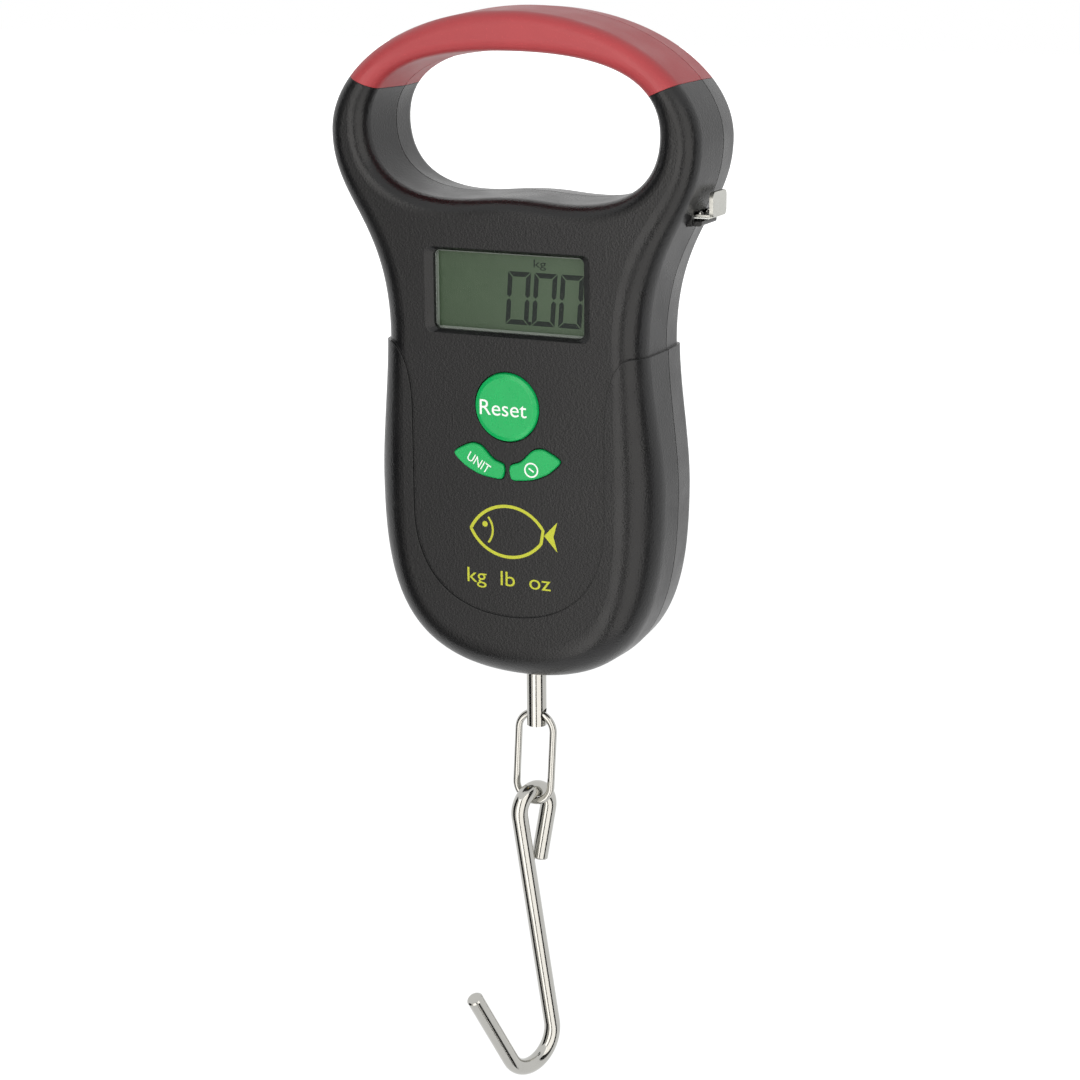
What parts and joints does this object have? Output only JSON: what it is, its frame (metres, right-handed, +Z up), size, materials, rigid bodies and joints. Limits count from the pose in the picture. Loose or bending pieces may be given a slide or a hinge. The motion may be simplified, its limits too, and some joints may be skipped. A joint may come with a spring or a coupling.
{
  "type": "digital fish scale",
  "caption": "Handheld digital hanging scale with a looped handle, display, keys, built-in tape measure, swivel shaft, chain link and hook.",
  "frame": {"origin": "inner apex of the handle opening, on the middle plane, where the scale hangs from a hand or a peg", "axes": "+X to the viewer's right, -Y towards the display, +Z up, with the hook below"},
  "size_m": [0.0926, 0.0329, 0.2645],
  "materials": {
    "black_plastic": "fine spark-eroded texture",
    "red_plastic": "fine texture",
    "green_plastic": "satin",
    "clear_lens": "clear",
    "lcd_glass": "grey-green display",
    "rubber": "matt",
    "circuit_board": "solder mask",
    "plated_steel": "polished nickel plate",
    "screw_steel": "zinc plate",
    "spring_steel": "blued",
    "tape_paint": "satin paint",
    "battery_jacket": "shrink film",
    "aluminium": "milled",
    "gauge_foil": "film",
    "brass": "turned"
  },
  "bodies": {
    "case": {"front_case": "black_plastic", "rear_case": "black_plastic", "front_grip": "red_plastic", "rear_grip": "red_plastic", "lcd_lens": "clear_lens", "lcd_panel": "lcd_glass", "lcd_frame": "black_plastic", "zebra_strips": "rubber", "main_pcb": "circuit_board", "pcb_screws": "screw_steel", "pcb_components": "black_plastic", "buzzer": "black_plastic", "switch_domes": "plated_steel", "drum_axle": "plated_steel", "tape_mouth": "black_plastic", "drum_bracket": "plated_steel", "bracket_screws": "screw_steel", "battery_tray": "black_plastic", "batteries": "battery_jacket", "battery_springs": "plated_steel", "battery_contacts": "plated_steel", "load_cell": "aluminium", "strain_gauges": "gauge_foil", "anchor_plate": "plated_steel", "anchor_screws": "screw_steel", "shaft_bush": "brass", "case_screws": "screw_steel"},
    "reset_key": {"reset_button": "green_plastic"},
    "unit_key": {"unit_button": "green_plastic"},
    "power_key": {"power_button": "green_plastic"},
    "drum": {"tape_drum": "black_plastic", "tape_coil": "tape_paint", "return_spring": "spring_steel"},
    "tape": {"tape_blade": "tape_paint", "tape_hook": "plated_steel", "tape_rivets": "plated_steel"},
    "door": {"battery_door": "black_plastic"},
    "swivel": {"load_shaft": "plated_steel", "shaft_washer": "plated_steel", "shaft_nut": "plated_steel"},
    "link": {"chain_link": "plated_steel"},
    "hook": {"hook": "plated_steel"}
  },
  "joints": [
    {"name": "reset_press", "type": "slide", "parent": "case", "child": "reset_key", "axis": [0, 1, 0], "range_m": [0, 0.00075], "stiffness_N_per_m": 600},
    {"name": "unit_press", "type": "slide", "parent": "case", "child": "unit_key", "axis": [0, 1, 0], "range_m": [0, 0.00075], "stiffness_N_per_m": 600},
    {"name": "power_press", "type": "slide", "parent": "case", "child": "power_key", "axis": [0, 1, 0], "range_m": [0, 0.00075], "stiffness_N_per_m": 600},
    {"name": "drum_spin", "type": "hinge", "parent": "case", "child": "drum", "pos_m": [0, 0, -0.0506], "axis": [0, 1, 0], "range_deg": [0, 130], "stiffness_Nm_per_rad": 0.0015, "springref_deg": -85.94},
    {"name": "tape_pull", "type": "slide", "parent": "case", "child": "tape", "axis": [1, 0, 0], "range_m": [0, 0.035]},
    {"name": "door_hinge", "type": "hinge", "parent": "case", "child": "door", "pos_m": [0, 0.0099, -0.0935], "axis": [-1, 0, 0], "range_deg": [0, 75]},
    {"name": "shaft_swivel", "type": "hinge", "parent": "case", "child": "swivel", "pos_m": [0, 0, -0.15], "axis": [0, 0, 1], "continuous": true},
    {"name": "link_swing", "type": "hinge", "parent": "swivel", "child": "link", "pos_m": [0, 0, -0.1587], "axis": [1, 0, 0], "range_deg": [-75, 75]},
    {"name": "hook_swing", "type": "hinge", "parent": "link", "child": "hook", "pos_m": [-0.00095, 0, -0.18147], "axis": [1, 0, 0], "range_deg": [-50, 50]}
  ],
  "couplings": [
    {"joint": "tape_pull", "follows": "drum_spin", "m_per_rad": 0.0153}
  ]
}
